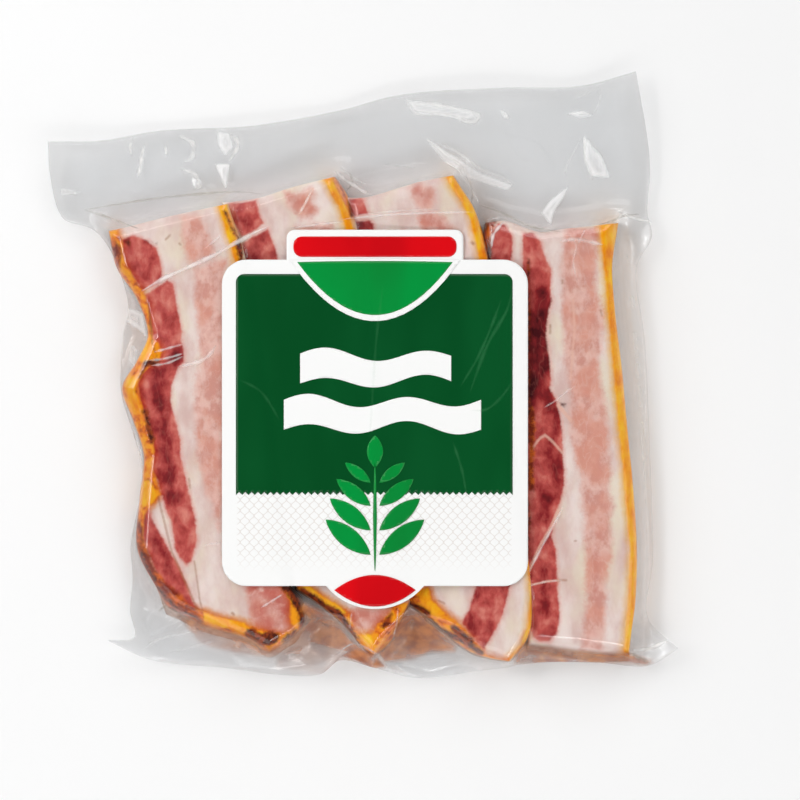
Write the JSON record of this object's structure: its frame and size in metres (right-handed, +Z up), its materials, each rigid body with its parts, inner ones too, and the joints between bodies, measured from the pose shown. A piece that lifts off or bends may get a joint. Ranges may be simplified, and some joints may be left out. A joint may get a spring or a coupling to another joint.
{
  "type": "bacon pack",
  "caption": "Vacuum pack of thick smoked bacon slabs lying side by side in a clear sealed pouch, with a printed label stuck across its face.",
  "frame": {"origin": "on the table under the middle of the pack's bounding box", "axes": "the pack lies on its back with its printed face up: +Z up out of the face, +X to the label's right, +Y to the label's top"},
  "size_m": [0.233, 0.225, 0.0176],
  "materials": {
    "bacon": "smoked pork belly seen through clear film: cream fat, pink and dark red lean, amber rind, wet and glossy",
    "film": "thin clear pouch film, creased, with sharp white highlights and a slight grey haze",
    "label": "printed label, dark green field with light green, red and white, satin gloss"
  },
  "bodies": {
    "root": {"pouch": "bacon", "label": "label"}
  },
  "joints": []
}
